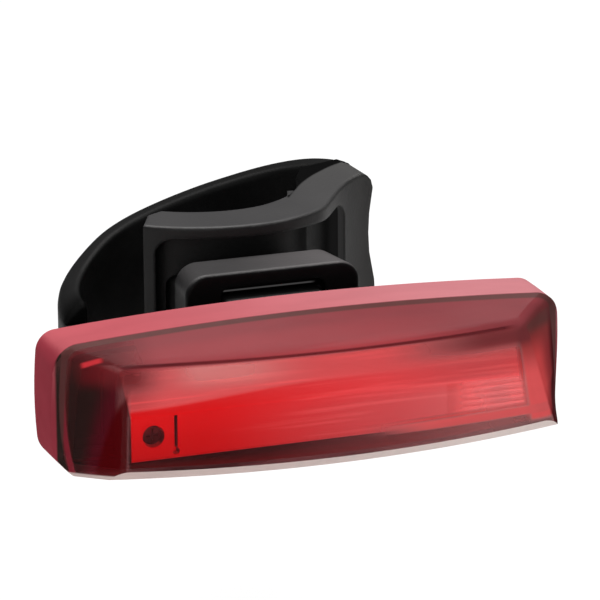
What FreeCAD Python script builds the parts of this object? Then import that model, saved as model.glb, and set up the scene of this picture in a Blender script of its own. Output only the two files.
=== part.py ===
import FreeCAD
import Part
import math
import os
from FreeCAD import Vector

# Bike tail light on a rubber seat post mount. Millimetres.
# Origin: the post's axis at the middle of the saddle. Z runs up the post, the light faces -Y.

# light head
headHalfWidth = 37.1
headTop = 9.9
headLow = -8.1
headCrown = 1.45          # rise of the top edge at mid width
headLowCrown = 0.2       # drop of the bottom edge at mid width
headSideBulge = 0.6
headTopCorner = 3.0
headLowCorner = 3.6
cornerGrowth = 0.14       # the top corners grow rounder by this much for each mm towards the front
headRear = -40.0          # plane of the lens cover's open edge
skirtDepth = 8.1
faceTopHalf = 29.2        # half width of the sloping face at its top edge
faceTopDepth = 14.3
faceTopHeight = 7.8
faceLowHalf = 32.3        # half width of the sloping face at its bottom edge
faceLowDepth = 19.6
faceLowHeight = -6.05
faceLowCrown = 0.9
faceBow = 2.55            # how far the middle of the face stands ahead of its ends
faceCrown = 0.47
faceCornerRadius = 3.6
lipOnFace = 0.075         # share of the face's height taken by the pale lower lip
lipBelow = 0.115          # share of the underside's depth taken by it
lensWall = 1.4

# rear housing, a tray pushed into the lens cover
trayFit = 0.12
trayWall = 1.4
trayFloor = 1.7
trayInset = 0.3
trayLip = 7.0             # how far the tray reaches into the lens cover
rearMiddle = 1.0          # height of the middle of the rear face and of all that sits on it
bossHalfWidth = headHalfWidth - 6.1
bossHalfHeight = 6.2
bossHeight = 2.1
sealDepth = 3.4
sealWidth = 1.2
sealGroove = 0.8
postRadius = 1.7
screwPilotRadius = 0.84

# electronics
boardHalfWidth = bossHalfWidth - 0.5
boardHalfHeight = 5.3
boardThickness = 1.0
boardDepth = 7.4
ledBoardThickness = 1.0
ledCount = 9
ledMargin = 1.8           # from the middle of an end chip to the end of its board
ledBoardLow = -4.0
ledBoardHigh = 0.2
batteryHalfWidth = bossHalfWidth - 17.5
batteryHalfHeight = 5.1
batteryThickness = 4.4

# red reflector box behind the face
boxHalfWidth = faceTopHalf - 0.4
boxFront = 15.0
boxBack = 8.5
boxLow = -5.5
boxHigh = 0.8
boxSlopeTop = 6.7
boxSlopeDepth = 9.7
boxRight = boxHalfWidth + 1.1   # the box reaches a little further on the right
boxWall = 1.2
ledBoardHalf = boxHalfWidth - 7.0
ledPitch = 2 * (ledBoardHalf - ledMargin) / (ledCount - 1)
boxScrewX = boxHalfWidth - 3.3
boxScrewZ = -2.0
recessRadius = 1.55
recessDepth = 1.6
screwHeadRadius = 1.4
screwHeadHeight = 0.9
screwShaftRadius = 0.8
reliefSlotX = 3.2 - boxScrewX
reliefSlotWidth = 0.45
opticEnd = boxRight - 0.6
opticStart = opticEnd - 11.8
opticPlate = 0.3
opticThickness = 0.7
opticRibs = 6

# controls on the rear face
controlX = bossHalfWidth - 10.5
buttonHalfWidth = 4.6
buttonHalfHeight = 3.1
buttonRise = 0.9
buttonFit = 0.3
buttonTravel = 0.6
coverHalfWidth = 6.6
coverHalfHeight = 3.4
coverThickness = 1.2
coverFit = 0.3
socketHalfWidth = 4.45
socketHalfHeight = 1.6
socketWall = 0.3

# cleat on the head and channel in the bracket
cleatNeckHalf = 7.6
cleatHeadHalf = 9.6
cleatLow = -6.6
cleatTop = 9.5
cleatScrewRise = 3.7      # cleat screws above and below the middle of the rear face
cleatBase = 1.4
cleatHeadThickness = 2.2
slideFit = 0.3
bracketHalfWidth = 13.2
bracketBackHalfWidth = 12.2
bracketHalfHeight = 13.3
bracketCorner = 3.2
bracketFront = -33.2
bracketBack = -25.4
bracketLip = 2.0
archTop = 11.25

# cradle against the seat post
postDiameter = 27.2
linerThickness = 1.35
linerHalfHeight = 16.3
linerFrom = -131.5
linerTo = -15.0
cradleOuter = 21.7
cradleCentre = -2.5
cradleHalfHeight = 17.5
cradleRise = 18.8         # top of the ear at the right end
earEnd = 25.6
earBack = 2.6
recessHalfHeight = 15.8
recessWall = 19.5
recessRight = 19.7

# strap around the post
strapThickness = 3.4
strapInner = cradleOuter - strapThickness
strapTop = 18.2           # top of the strap at the ear
strapEndTop = 3.5
strapEndLow = -11.0
strapGap = 0.15
strapFlare = 4.4
flareEnd = 80.0
bendAngle = 128.0
tongueThickness = 3.0
tongueLow = -7.6
tongueHigh = -0.9
tongueEnd = -19.0
hookSlotFrom = -14.9
hookSlotTo = -8.6
hookFit = 0.35


def box(x0, x1, y0, y1, z0, z1):
    return Part.makeBox(x1 - x0, y1 - y0, z1 - z0, Vector(x0, y0, z0))


def cylinderY(x, z, radius, y0, y1):
    return Part.makeCylinder(radius, y1 - y0, Vector(x, y0, z), Vector(0, 1, 0))


def cylinderZ(x, y, radius, z0, z1):
    return Part.makeCylinder(radius, z1 - z0, Vector(x, y, z0), Vector(0, 0, 1))


def arcEdge(first, middle, last):
    return Part.Arc(first, middle, last).toShape()


def lineEdge(first, last):
    return Part.makeLine(first, last)


def roundedRect(x0, x1, z0, z1, radius, y):
    """Face in an XZ plane with four round corners."""
    k = radius * (1 - math.sqrt(0.5))
    edges = [
        lineEdge(Vector(x0 + radius, y, z0), Vector(x1 - radius, y, z0)),
        arcEdge(Vector(x1 - radius, y, z0), Vector(x1 - k, y, z0 + k), Vector(x1, y, z0 + radius)),
        lineEdge(Vector(x1, y, z0 + radius), Vector(x1, y, z1 - radius)),
        arcEdge(Vector(x1, y, z1 - radius), Vector(x1 - k, y, z1 - k), Vector(x1 - radius, y, z1)),
        lineEdge(Vector(x1 - radius, y, z1), Vector(x0 + radius, y, z1)),
        arcEdge(Vector(x0 + radius, y, z1), Vector(x0 + k, y, z1 - k), Vector(x0, y, z1 - radius)),
        lineEdge(Vector(x0, y, z1 - radius), Vector(x0, y, z0 + radius)),
        arcEdge(Vector(x0, y, z0 + radius), Vector(x0 + k, y, z0 + k), Vector(x0 + radius, y, z0)),
    ]
    return Part.Face(Part.Wire(edges))


def roundedBlock(x0, x1, z0, z1, radius, y0, y1):
    return roundedRect(x0, x1, z0, z1, radius, y0).extrude(Vector(0, y1 - y0, 0))


def prism(points, direction):
    closed = [Vector(*p) for p in points] + [Vector(*points[0])]
    return Part.Face(Part.makePolygon(closed)).extrude(direction)


def chosenEdges(shape, test):
    return [edge for edge in shape.Edges if test(edge)]


def along(edge, axis, share=0.98):
    """True for an edge whose ends lie apart mainly along one axis."""
    if len(edge.Vertexes) < 2:
        return False
    step = edge.Vertexes[1].Point.sub(edge.Vertexes[0].Point)
    return step.Length > 0.01 and abs(step.dot(axis)) / step.Length > share


def reach(edge, axis):
    """Least and greatest value of one coordinate along an edge: axis 0 is X, 1 is Y, 2 is Z."""
    values = [point[axis] for point in edge.discretize(9)]
    return min(values), max(values)


def soften(shape, radius, test):
    """Round the chosen edges, one at a time where a joint round fails."""
    edges = chosenEdges(shape, test)
    if not edges:
        return shape
    try:
        rounded = shape.makeFillet(radius, edges)
        if rounded.isValid() and rounded.Volume > 0:
            return rounded
    except Exception:
        pass
    return shape


def softenGrowing(shape, first, last, test):
    """Round edges that run along Y with a radius that changes evenly from one end to the other."""
    for edge in chosenEdges(shape, test):
        low = edge.valueAt(edge.FirstParameter).y
        high = edge.valueAt(edge.LastParameter).y
        radii = (first, last) if low > high else (last, first)
        middle = edge.CenterOfMass
        again = [e for e in shape.Edges if e.CenterOfMass.sub(middle).Length < 0.01]
        shape = shape.makeFillet(radii[0], radii[1], again)
    return shape


axisX = Vector(1, 0, 0)
axisY = Vector(0, 1, 0)
axisZ = Vector(0, 0, 1)


def crownedPrism(inset, y0, y1, corner):
    """Block with bowed top, bottom and sides, used for the skirt, the tray and the seal."""
    w = headHalfWidth - inset
    top = headTop - inset
    low = headLow + inset
    middle = (top + low) / 2
    b = headSideBulge
    edges = [
        arcEdge(Vector(-w, y0, top), Vector(0, y0, top + headCrown), Vector(w, y0, top)),
        arcEdge(Vector(w, y0, top), Vector(w + b, y0, middle), Vector(w, y0, low)),
        arcEdge(Vector(w, y0, low), Vector(0, y0, low - headLowCrown), Vector(-w, y0, low)),
        arcEdge(Vector(-w, y0, low), Vector(-w - b, y0, middle), Vector(-w, y0, top)),
    ]
    block = Part.Face(Part.Wire(edges)).extrude(Vector(0, y1 - y0, 0))
    first = corner + cornerGrowth * (headRear - y0)
    last = corner + cornerGrowth * (headRear - y1)
    block = softenGrowing(block, first, last, lambda e: along(e, axisY) and e.BoundBox.Center.z > middle)
    lowCorner = corner * headLowCorner / headTopCorner
    return soften(block, lowCorner, lambda e: along(e, axisY) and e.BoundBox.Center.z < low + 0.5)


def bowArc(halfWidth, depth, height, bow, crown, reach, shift):
    """Arc across the head: ends at +-reach, fitted to a bow and a crown over halfWidth."""
    share = (reach / halfWidth) ** 2
    middle = Vector(0, headRear - depth - bow, height + crown).add(shift)
    side = Vector(reach, headRear - depth - bow + bow * share, height + crown - crown * share).add(shift)
    return [Vector(-side.x, side.y, side.z), middle, side]


def stretch(nearPoints, farPoints, factor):
    return [n.add(f.sub(n).multiply(factor)) for n, f in zip(nearPoints, farPoints)]


def ruled(firstPoints, secondPoints):
    return Part.makeRuledSurface(arcEdge(*firstPoints), arcEdge(*secondPoints))


def normalShift(dy, dz, inset, sign):
    """Shift at right angles to a slope in the YZ plane."""
    length = math.hypot(dy, dz)
    return Vector(0, sign * dz / length * inset, -sign * dy / length * inset)


def lensForm(inset, corner, frontCorner, edge):
    """Outer form of the light head, or its inner form when inset is the wall."""
    front = headRear - skirtDepth
    body = crownedPrism(inset, headRear, headRear - 26, corner)

    topShift = normalShift(skirtDepth - faceTopDepth, faceTopHeight - headTop, inset, -1)
    topNear = bowArc(headHalfWidth, skirtDepth, headTop, 0, headCrown, 44, topShift)
    topFar = bowArc(faceTopHalf, faceTopDepth, faceTopHeight, faceBow, faceCrown, 36, topShift)
    topBack = stretch(topFar, topNear, 1.12)
    top = ruled(topBack, stretch(topNear, topFar, 1.7)).extrude(Vector(0, 0, 20))

    lowShift = normalShift(skirtDepth - faceLowDepth, faceLowHeight - headLow, inset, 1)
    lowNear = bowArc(headHalfWidth, skirtDepth, headLow, 0, -headLowCrown, 44, lowShift)
    lowFar = bowArc(faceLowHalf, faceLowDepth, faceLowHeight, faceBow, -faceLowCrown, 40, lowShift)
    lowBack = stretch(lowFar, lowNear, 1.06)
    low = ruled(lowBack, stretch(lowNear, lowFar, 1.4)).extrude(Vector(0, 0, -20))

    faceShift = normalShift(faceLowDepth - faceTopDepth, faceTopHeight - faceLowHeight, inset, 1)
    faceTop = bowArc(faceTopHalf, faceTopDepth, faceTopHeight, faceBow, faceCrown, 44, faceShift)
    faceLow = bowArc(faceLowHalf, faceLowDepth, faceLowHeight, faceBow, -faceLowCrown, 44, faceShift)
    face = ruled(stretch(faceLow, faceTop, 1.7), stretch(faceTop, faceLow, 1.7)).extrude(Vector(0, -30, 0))

    cut = [top, low, face]
    if edge > 0:
        lowWide = bowArc(faceLowHalf, faceLowDepth, faceLowHeight, faceBow, -faceLowCrown, 44, lowShift)
        lipHigh = stretch(faceLow, faceTop, lipOnFace)
        lipLow = stretch(lowWide, lowNear, lipBelow)
        lip = ruled(stretch(lipLow, lipHigh, 2.6), stretch(lipHigh, lipLow, 2.6))
        cut.append(lip.extrude(Vector(0, -10, -10)))
    for side in (-1, 1):
        slope = Vector(0.5 * (faceTopHalf + faceLowHalf) - headHalfWidth, skirtDepth - 16.75, 0)
        inward = Vector(slope.y, -slope.x, 0).multiply(inset / slope.Length)
        nearTop = Vector(headHalfWidth, front, 14)
        nearLow = Vector(headHalfWidth, front, -14)
        farTop = Vector(faceTopHalf, headRear - faceTopDepth, faceTopHeight)
        farLow = Vector(faceLowHalf, headRear - faceLowDepth, faceLowHeight)
        span = farLow.sub(farTop)
        farTop = farTop.sub(Vector(span).multiply(0.55))
        farLow = farLow.add(Vector(span).multiply(0.6))
        points = []
        for near, far in ((nearTop, farTop), (nearLow, farLow)):
            back = near.sub(Vector(far.sub(near)).multiply(0.12)).add(inward)
            ahead = near.add(Vector(far.sub(near)).multiply(2.4)).add(inward)
            points.append((back, ahead))
        lines = [lineEdge(Vector(side * p.x, p.y, p.z), Vector(side * q.x, q.y, q.z)) for p, q in points]
        wall = Part.makeRuledSurface(lines[0], lines[1])
        cut.append(wall.extrude(Vector(side * 30, 0, 0)))
    for tool in cut:
        body = body.cut(tool)
    body = body.removeSplitter()

    def isMitre(e):
        low, high = reach(e, 2)
        rear = reach(e, 1)[1]
        return low > faceTopHeight - 1.4 - inset and rear > front - 3 and reach(e, 1)[0] < front - 3

    def isFaceCorner(e):
        low, high = reach(e, 2)
        return low < faceLowHeight + 2 and high > faceTopHeight - 3 and reach(e, 1)[1] < front - 3

    body = soften(body, 0.7 * corner, isMitre)
    body = soften(body, frontCorner, isFaceCorner)
    if edge > 0:
        body = soften(body, edge, lambda e: reach(e, 1)[1] < headRear - 0.1 and reach(e, 0)[1] > reach(e, 0)[0] + 20
                      and reach(e, 2)[0] > 0)
    return body


def lensCover():
    outer = lensForm(0, headTopCorner, faceCornerRadius, 0.5)
    inner = lensForm(lensWall, headTopCorner - 1.3, faceCornerRadius - 1.2, 0)
    return outer.cut(inner)


def rearHousing():
    back = headRear - trayInset
    front = headRear - trayLip
    fit = lensWall + trayFit
    tray = crownedPrism(fit, back, front, headTopCorner - 1.4)
    tray = tray.cut(crownedPrism(fit + trayWall, back - trayFloor, front - 1, 0.8))
    m = rearMiddle
    boss = roundedBlock(-bossHalfWidth, bossHalfWidth, m - bossHalfHeight, m + bossHalfHeight, 2.5,
                        back, back + bossHeight)
    boss = soften(boss, 0.5, lambda e: e.BoundBox.YMin > back + bossHeight - 0.01)
    tray = tray.fuse(boss)
    groove = crownedPrism(fit - 1, headRear - sealDepth, headRear - sealDepth - sealWidth, 2.0)
    groove = groove.cut(crownedPrism(fit + sealGroove, headRear - sealDepth + 1, headRear - sealDepth - 3, 0.8))
    tray = tray.cut(groove)
    for side in (-1, 1):
        post = cylinderY(side * boxScrewX, boxScrewZ, postRadius, headRear - boardDepth + 0.05, back - trayFloor + 0.2)
        tray = tray.fuse(post)
        pilot = cylinderY(side * boxScrewX, boxScrewZ, screwPilotRadius, headRear - boardDepth - 1, back - trayFloor - 0.4)
        tray = tray.cut(pilot)
    bx = controlX
    w = buttonHalfWidth + buttonFit
    h = buttonHalfHeight + buttonFit
    tray = tray.cut(roundedBlock(bx - w, bx + w, m - h, m + h, h - 0.05, back - 0.4, back + 5))
    w = w - 1.2
    h = h - 1.2
    tray = tray.cut(roundedBlock(bx - w, bx + w, m - h, m + h, h - 0.05, back - 5, back))
    w = coverHalfWidth + coverFit
    h = coverHalfHeight + coverFit
    rear = back + bossHeight
    tray = tray.cut(roundedBlock(-bx - w, -bx + w, m - h, m + h, 1.2, rear - coverThickness - 0.15, rear + 2))
    w = socketHalfWidth + 0.25
    h = socketHalfHeight + 0.25
    tray = tray.cut(roundedBlock(-bx - w, -bx + w, m - h, m + h, h - 0.05, back - 5, rear))
    for z in (m - cleatScrewRise, m + cleatScrewRise):
        tray = tray.cut(cylinderY(0, z, screwPilotRadius, back - trayFloor + 0.4, rear + 1))
    return tray.removeSplitter()


def housingSeal():
    y0 = headRear - sealDepth - 0.05
    y1 = headRear - sealDepth - sealWidth + 0.05
    ring = crownedPrism(lensWall + 0.03, y0, y1, headTopCorner - 1.3)
    return ring.cut(crownedPrism(lensWall + trayFit + sealGroove - 0.03, y0 + 1, y1 - 1, 0.8))


def cleat():
    base = headRear - trayInset + bossHeight
    headBack = bracketFront + bracketLip + slideFit
    low = cleatLow
    m = rearMiddle
    part = roundedBlock(-10.5, 10.5, m - bossHalfHeight + 0.4, m + bossHalfHeight - 0.4, 1.5, base, base + cleatBase)
    part = part.fuse(roundedBlock(-cleatNeckHalf, cleatNeckHalf, low, cleatTop, 0.8, base + 0.3, headBack + 0.5))
    rail = roundedBlock(-cleatHeadHalf, cleatHeadHalf, low, cleatTop, 0.8, headBack, headBack + cleatHeadThickness)
    rail = soften(rail, 0.3, lambda e: e.BoundBox.YMin > headBack + cleatHeadThickness - 0.01)
    part = part.fuse(rail)
    rear = headBack + cleatHeadThickness
    bump = Part.makeSphere(2.0, Vector(0, rear - 1.75, m))
    part = part.fuse(bump)
    for z in (m - cleatScrewRise, m + cleatScrewRise):
        part = part.cut(cylinderY(0, z, 1.0, base - 1, rear + 1))
        part = part.cut(cylinderY(0, z, 1.9, rear - 1.4, rear + 1))
    for side in (-1, 1):
        part = part.cut(box(side * 5.4 - 1.2, side * 5.4 + 1.2, base + 2.2, headBack - 0.6, low - 1, cleatTop - 1.6))
    return part.removeSplitter()


def crossScrew(x, z, headRearY, headHeight, headRadius, shaftRadius, shaftEnd, direction):
    """Screw along Y with a cross recess. direction is the side its head faces: 1 rear, -1 front."""
    y = headRearY
    head = Part.makeCylinder(headRadius, headHeight, Vector(x, y, z), Vector(0, -direction, 0))
    rim = max(v.Point.y * direction for v in head.Vertexes)
    head = soften(head, 0.25, lambda e: abs(e.BoundBox.Center.y * direction - rim) < 0.01)
    length = abs(shaftEnd - y)
    shaft = Part.makeCylinder(shaftRadius, length, Vector(x, y, z), Vector(0, -direction, 0))
    tip = shaftEnd
    screw = head.fuse(shaft)
    screw = screw.makeChamfer(0.3, chosenEdges(screw, lambda e: abs(e.BoundBox.Center.y - tip) < 0.01))
    arm = headRadius * 0.62
    depth = headHeight * 0.6
    y0 = min(y, y - direction * depth)
    y1 = max(y, y - direction * depth) + 0.001
    slotA = box(x - arm, x + arm, y0, y1, z - 0.2, z + 0.2)
    slotB = box(x - 0.2, x + 0.2, y0, y1, z - arm, z + arm)
    return screw.cut(slotA.fuse(slotB))


def cleatScrews():
    headBack = bracketFront + bracketLip + slideFit
    rear = headBack + cleatHeadThickness - 0.3
    end = headRear - trayInset - trayFloor + 0.9
    heights = (rearMiddle - cleatScrewRise, rearMiddle + cleatScrewRise)
    return [crossScrew(0, z, rear, 1.1, 1.75, 0.8, end, 1) for z in heights]


def reflector():
    f = headRear - boxFront
    b = headRear - boxBack
    s = headRear - boxSlopeDepth
    t = boxWall

    def hood(inset, front, back, slope, low, high, top):
        left = inset - boxHalfWidth
        outline = [(left, back, low), (left, front, low + 0.35), (left, front, high), (left, slope, top),
                   (left, back, top)]
        return prism(outline, Vector(boxHalfWidth + boxRight - 2 * inset, 0, 0))

    outer = hood(0, f, b, s, boxLow - 0.35, boxHigh, boxSlopeTop)
    outer = soften(outer, 0.5, lambda e: e.BoundBox.YMax < s + 0.1)
    inner = hood(t, f + t, b + 1, s + 0.5 * t, boxLow + t - 0.35, boxHigh - 0.45 * t, boxSlopeTop - t)
    shell = outer.cut(inner)
    for side in (-1, 1):
        x = side * boxScrewX
        boss = cylinderY(x, boxScrewZ, 2.5, f + 0.3, b)
        shell = shell.fuse(boss)
        shell = shell.cut(cylinderY(x, boxScrewZ, recessRadius, f - 1, f + recessDepth))
        shell = shell.cut(cylinderY(x, boxScrewZ, 0.95, f, b + 1))
    x0 = reliefSlotX - reliefSlotWidth / 2
    shell = shell.cut(box(x0, x0 + reliefSlotWidth, f - 1, f + t + 0.2, boxLow + 1.1, boxHigh - 0.15))
    shell = shell.cut(cylinderY(reliefSlotX, boxLow + 1.1, 0.5, f - 1, f + t + 0.2))
    return shell.removeSplitter()


def reflectorScrews():
    head = headRear - boxFront + recessDepth - screwHeadHeight
    end = headRear - boardDepth + 3.6
    return [crossScrew(side * boxScrewX, boxScrewZ, head, screwHeadHeight, screwHeadRadius,
                       screwShaftRadius, end, -1) for side in (-1, 1)]


def flutedOptic():
    f = headRear - boxFront - 0.02
    low = boxLow + 0.55
    high = boxHigh - 0.35
    plate = box(opticStart, opticEnd, f - opticPlate, f, low, high)
    pitch = (high - low) / opticRibs
    for i in range(opticRibs):
        z = low + (i + 0.5) * pitch
        rib = Part.makeCylinder(pitch * 0.5, opticEnd - opticStart, Vector(opticStart, f - opticPlate, z), axisX)
        plate = plate.fuse(rib.common(box(opticStart, opticEnd, f - opticThickness, f - 0.1, low, high)))
    return plate.removeSplitter()


def circuitBoard():
    y = headRear - boardDepth
    low = rearMiddle - boardHalfHeight
    high = rearMiddle + boardHalfHeight
    board = roundedBlock(-boardHalfWidth, boardHalfWidth, low, high, 1.0, y - boardThickness, y)
    for side in (-1, 1):
        board = board.cut(cylinderY(side * boxScrewX, boxScrewZ, 1.05, y - 2, y + 1))
    front = y - boardThickness
    for x, z, w, h in [(-8.0, 4.1, 2.4, 1.6), (6.5, 4.2, 1.6, 1.4), (12.5, 4.3, 1.2, 0.8)]:
        board = board.fuse(box(x - w / 2, x + w / 2, front - 0.8, front, z - h / 2, z + h / 2))
    return board.removeSplitter()


def ledBoard():
    y = headRear - boardDepth - boardThickness - 0.03
    return box(-ledBoardHalf, ledBoardHalf, y - ledBoardThickness, y, ledBoardLow, ledBoardHigh)


def ledChips():
    y = headRear - boardDepth - boardThickness - ledBoardThickness - 0.05
    chips = []
    for i in range(ledCount):
        x = (i - (ledCount - 1) / 2) * ledPitch
        package = box(x - 1.4, x + 1.4, y - 0.7, y, -3.2, -1.2)
        well = cylinderY(x, -2.2, 0.75, y - 1, y - 0.45)
        chips.append(package.cut(well))
    return chips


def battery():
    y = headRear - boardDepth + 0.4
    h = batteryHalfHeight
    m = rearMiddle
    cell = roundedBlock(-batteryHalfWidth, batteryHalfWidth, m - h, m + h, 0.9, y, y + batteryThickness)
    cell = soften(cell, 0.6, lambda e: abs(e.BoundBox.YLength) < 0.01)
    tab = box(batteryHalfWidth - 0.2, batteryHalfWidth + 1.2, y + 1.6, y + 2.8, m - 3.2, m + 3.2)
    return cell.fuse(tab)


def chargingSocket():
    y0 = headRear - boardDepth + 0.02
    y1 = headRear - trayInset + 0.55
    w = socketHalfWidth
    h = socketHalfHeight
    m = rearMiddle
    shell = roundedBlock(-controlX - w, -controlX + w, m - h, m + h, h - 0.05, y0, y1)
    w = w - socketWall
    h = h - socketWall
    shell = shell.cut(roundedBlock(-controlX - w, -controlX + w, m - h, m + h, h - 0.05, y0 + 1.2, y1 + 1))
    tongue = box(-controlX - 3.3, -controlX + 3.3, y0 + 0.6, y1 - 0.9, m - 0.35, m + 0.35)
    return shell.fuse(tongue)


def pushSwitch():
    y = headRear - boardDepth + 0.02
    body = box(controlX - 2.6, controlX + 2.6, y, y + 1.7, rearMiddle - 2.6, rearMiddle + 2.6)
    body = soften(body, 0.3, lambda e: along(e, axisY))
    return body.fuse(cylinderY(controlX, rearMiddle, 1.2, y + 1.5, y + 2.6))


def powerButton():
    back = headRear - trayInset
    rear = back + bossHeight
    w = buttonHalfWidth
    h = buttonHalfHeight
    m = rearMiddle
    cap = roundedBlock(controlX - w, controlX + w, m - h, m + h, h - 0.05, back + buttonTravel, rear + buttonRise)
    cap = soften(cap, 0.6, lambda e: e.BoundBox.YMin > rear + buttonRise - 0.01)
    dish = Part.makeSphere(12, Vector(controlX, rear + buttonRise + 11.6, m))
    cap = cap.cut(dish)
    stem = cylinderY(controlX, m, 1.3, headRear - boardDepth + 3.3, back + buttonTravel + 0.5)
    return cap.fuse(stem)


def portCover():
    rear = headRear - trayInset + bossHeight
    w = coverHalfWidth
    h = coverHalfHeight
    m = rearMiddle
    left = -controlX - w
    flap = roundedBlock(left, -controlX + w, m - h, m + h, 1.0, rear - coverThickness, rear)
    flap = soften(flap, 0.35, lambda e: e.BoundBox.YMin > rear - 0.01)
    flap = flap.cut(roundedBlock(left - 1, left + 1.0, m - 1.6, m + 1.6, 0.5, rear - 0.5, rear + 1))
    pull = roundedBlock(left + 0.4, left + 1.9, m - h + 1.2, m + h - 1.2, 0.6, rear - 0.3, rear + 0.8)
    flap = flap.fuse(pull)
    return flap


def bracket():
    y0 = bracketFront
    y1 = bracketBack
    w = bracketHalfWidth
    h = bracketHalfHeight
    v = bracketBackHalfWidth
    ends = [roundedRect(-w, w, -h, h, bracketCorner, y0), roundedRect(-v, v, -h, h, bracketCorner, y1)]
    block = Part.makeLoft([end.OuterWire for end in ends], True)
    block = soften(block, 0.5, lambda e: e.BoundBox.YMax < y0 + 0.01 or e.BoundBox.YMin > y1 - 0.01)
    pad = roundedBlock(-11.2, 11.2, -10.0, 10.0, 2.0, y1 - 0.5, -17.0)
    pad = pad.cut(cylinderZ(0, cradleCentre, recessWall + 0.02, -20, 20))
    block = block.fuse(pad)
    opening = cleatNeckHalf + slideFit
    arch = roundedBlock(-opening, opening, -20, archTop, 1.4, y0 - 1, y0 + bracketLip + 0.1)
    channel = cleatHeadHalf + slideFit
    depth = cleatHeadThickness + 2 * slideFit
    groove = roundedBlock(-channel, channel, -20, cleatTop + slideFit, 0.9, y0 + bracketLip, y0 + bracketLip + depth)
    block = block.cut(arch).cut(groove)
    rear = y0 + bracketLip + depth
    dimple = Part.makeCylinder(1.6, 24, Vector(0, rear - 0.45, -24), axisZ)
    block = block.cut(dimple)
    for z in (-6.0, 6.0):
        block = block.cut(cylinderY(0, z, 1.24, rear + 1.2, -16))
    return block.removeSplitter()


def bracketScrews():
    head = -postDiameter / 2 - linerThickness - 0.5
    return [crossScrew(0, z, head, 1.5, 2.3, 1.2, bracketBack - 0.6, 1) for z in (-6.0, 6.0)]


def curve(points, startTangent=None, endTangent=None):
    spline = Part.BSplineCurve()
    vectors = [Vector(x, y, 0) for x, y in points]
    if startTangent and endTangent:
        spline.interpolate(Points=vectors, InitialTangent=Vector(*startTangent, 0), FinalTangent=Vector(*endTangent, 0))
    else:
        spline.interpolate(vectors)
    return spline.toShape()


def onCircle(radius, degrees, centre=cradleCentre):
    a = math.radians(degrees)
    return (radius * math.cos(a), centre + radius * math.sin(a))


def flat(p):
    return Vector(p[0], p[1], 0)


def circleArc(radius, start, end, centre=cradleCentre):
    middle = (start + end) / 2
    return arcEdge(flat(onCircle(radius, start, centre)), flat(onCircle(radius, middle, centre)),
                   flat(onCircle(radius, end, centre)))


def upright(edges, z0, z1):
    face = Part.Face(Part.Wire(edges))
    face.translate(Vector(0, 0, z0))
    return face.extrude(Vector(0, 0, z1 - z0))


def sideProfile(points):
    """Plate in the XZ plane that trims the height of the cradle and the strap."""
    return prism([(x, -60, z) for x, z in points], Vector(0, 120, 0))


def cradle():
    saddle = postDiameter / 2 + linerThickness + 0.03
    outerEnd = onCircle(cradleOuter, -58)
    saddleEnd = onCircle(saddle, -12, 0)
    saddleLeft = onCircle(saddle, 231, 0)
    outerLeft = onCircle(cradleOuter, 228)
    tip = (-12.0, -13.2)
    earFront = (earEnd + 0.6, -6.7)
    sweep = curve([outerEnd, (14.8, -17.2), (17.4, -13.2), (20.2, -9.6), (22.8, -7.5), earFront],
                  (math.sin(math.radians(58)), math.cos(math.radians(58))), (1.0, 0.0))
    edges = [
        circleArc(cradleOuter, 228, 302),
        sweep,
        lineEdge(flat(earFront), flat((earEnd + 0.6, earBack))),
        lineEdge(flat((earEnd + 0.6, earBack)), flat((17.6, earBack))),
        lineEdge(flat((17.6, earBack)), flat(saddleEnd)),
        circleArc(saddle, -12, -129, 0),
        lineEdge(flat(saddleLeft), flat(tip)),
        lineEdge(flat(tip), flat(outerLeft)),
    ]
    body = upright(edges, -20, 20)
    h = cradleHalfHeight
    r = cradleRise
    e = earEnd
    waist = e - 0.75
    points = [(-20, h), (5, h), (12, h + 0.25), (19, h + 0.75), (23.4, r), (24.7, r - 0.5), (e - 0.3, r - 1.2)]
    points += [(e, r - 2.4)]
    points += [(waist + 0.15, 12.5), (waist, 9.5), (waist + 0.15, 6.5), (e + 0.2, 2.2), (e + 0.3, 0)]
    points += [(x, -z) for x, z in reversed(points[:-1])]
    body = body.common(sideProfile(points))

    wallEnd = onCircle(recessWall, -58)
    inner = [
        circleArc(recessWall, 200, 302),
        curve([wallEnd, (12.7, -15.9), (15.4, -12.0), (18.4, -8.6), (24, -5.0)]),
        lineEdge(flat((24, -5.0)), flat((40, -5.0))),
        lineEdge(flat((40, -5.0)), flat((40, -40))),
        lineEdge(flat((40, -40)), flat((-40, -40))),
        lineEdge(flat((-40, -40)), flat((-40, onCircle(recessWall, 200)[1]))),
        lineEdge(flat((-40, onCircle(recessWall, 200)[1])), flat(onCircle(recessWall, 200))),
    ]
    pocket = upright(inner, -19, 19)
    window = roundedBlock(-13.1, recessRight, -recessHalfHeight, recessHalfHeight, 2.6, -40, 5)
    body = body.cut(pocket.common(window))
    for z in (-6.0, 6.0):
        body = body.cut(cylinderY(0, z, 1.3, -30, -10))
        body = body.cut(cylinderY(0, z, 2.4, -saddle - 2.1, -10))
    hookPocket = box(-17.0, -9.1, -17.7, -13.3, tongueLow - 0.6, tongueHigh + 0.6)
    body = body.cut(hookPocket)
    body = soften(body, 0.45, lambda e: e.BoundBox.ZMin > cradleHalfHeight - 0.01 and e.BoundBox.XMax < 6)
    return body.removeSplitter()


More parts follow.
